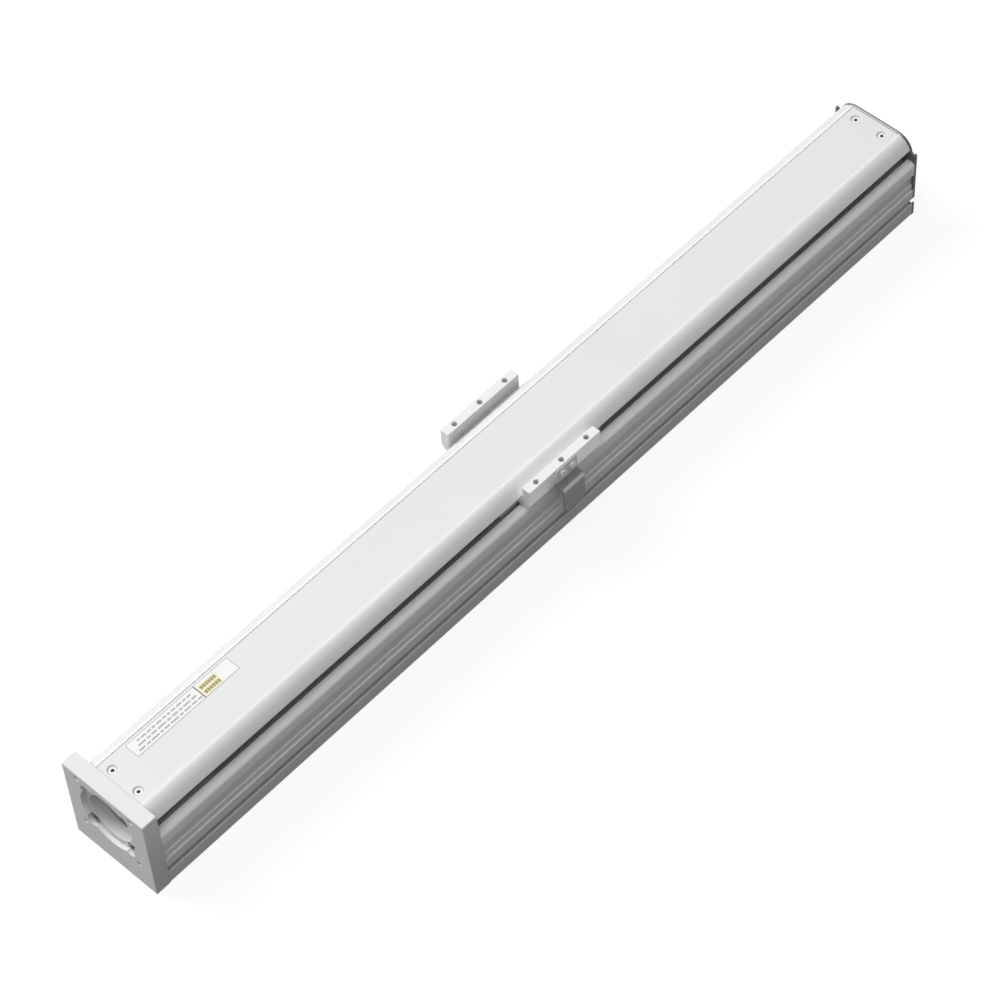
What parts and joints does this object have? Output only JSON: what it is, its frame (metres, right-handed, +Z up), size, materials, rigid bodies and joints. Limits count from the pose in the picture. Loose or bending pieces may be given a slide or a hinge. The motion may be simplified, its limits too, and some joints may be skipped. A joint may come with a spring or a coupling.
{
  "type": "ball screw linear module",
  "caption": "Enclosed ball screw linear module: long aluminium base, domed cover with side slits, motor flange, and a carriage whose two tapped ears ride outside the cover.",
  "frame": {"origin": "middle of the base extrusion's underside, halfway along its length", "axes": "+X from the motor flange to the far end, +Y across to the side without the sensor flag, +Z up through the cover"},
  "size_m": [0.7682, 0.09, 0.0795],
  "materials": {
    "anodised": "natural anodised, satin",
    "machined": "machined, bare",
    "dark_plate": "black anodised, matt",
    "flag_sheet": "black oxide sheet, satin",
    "bearing_steel": "ground and hardened",
    "ball_steel": "polished balls",
    "cage_brass": "drawn brass",
    "black_steel": "black oxide",
    "zinc_steel": "bright zinc plated",
    "rubber": "soft black",
    "cap_plastic": "dark moulded resin"
  },
  "bodies": {
    "stator": {"base_extrusion": "anodised", "top_cover": "anodised", "cover_screws": "zinc_steel", "motor_flange": "anodised", "flange_screws": "black_steel", "end_plate": "dark_plate", "end_plate_screws": "zinc_steel", "fixed_housing": "machined", "far_housing": "machined", "housing_screws": "black_steel", "bearing_outer_rings": "bearing_steel", "bearing_retainer": "black_steel", "retainer_screws": "black_steel", "far_bearing_outer_ring": "bearing_steel", "guide_rail": "bearing_steel", "guide_rail_screws": "black_steel", "stop_rubber_motor_side": "rubber", "stop_rubber_far_side": "rubber"},
    "screw": {"screw_shaft": "bearing_steel", "bearing_inner_rings": "bearing_steel", "bearing_balls": "ball_steel", "bearing_cages": "cage_brass", "bearing_collar": "bearing_steel", "lock_nut": "black_steel", "far_bearing_inner_ring": "bearing_steel", "far_bearing_balls": "ball_steel", "far_bearing_cage": "cage_brass", "circlip": "black_steel"},
    "carriage": {"ball_nut": "bearing_steel", "ball_nut_wipers": "rubber", "ball_nut_screws": "black_steel", "guide_block": "bearing_steel", "guide_block_balls": "ball_steel", "guide_block_end_caps": "cap_plastic", "guide_block_wipers": "rubber", "guide_block_screws": "black_steel", "grease_nipple": "cage_brass", "carriage_body": "anodised", "sensor_flag": "flag_sheet", "sensor_flag_screws": "zinc_steel"}
  },
  "joints": [
    {"name": "carriage_slide", "type": "slide", "parent": "stator", "child": "carriage", "axis": [1, 0, 0], "range_m": [-0.252, 0.3]},
    {"name": "screw_spin", "type": "hinge", "parent": "stator", "child": "screw", "pos_m": [0, 0, 0.049], "axis": [1, 0, 0], "range_deg": [-9081, 10809]}
  ],
  "couplings": [
    {"joint": "screw_spin", "follows": "carriage_slide", "rad_per_m": 628.32}
  ]
}
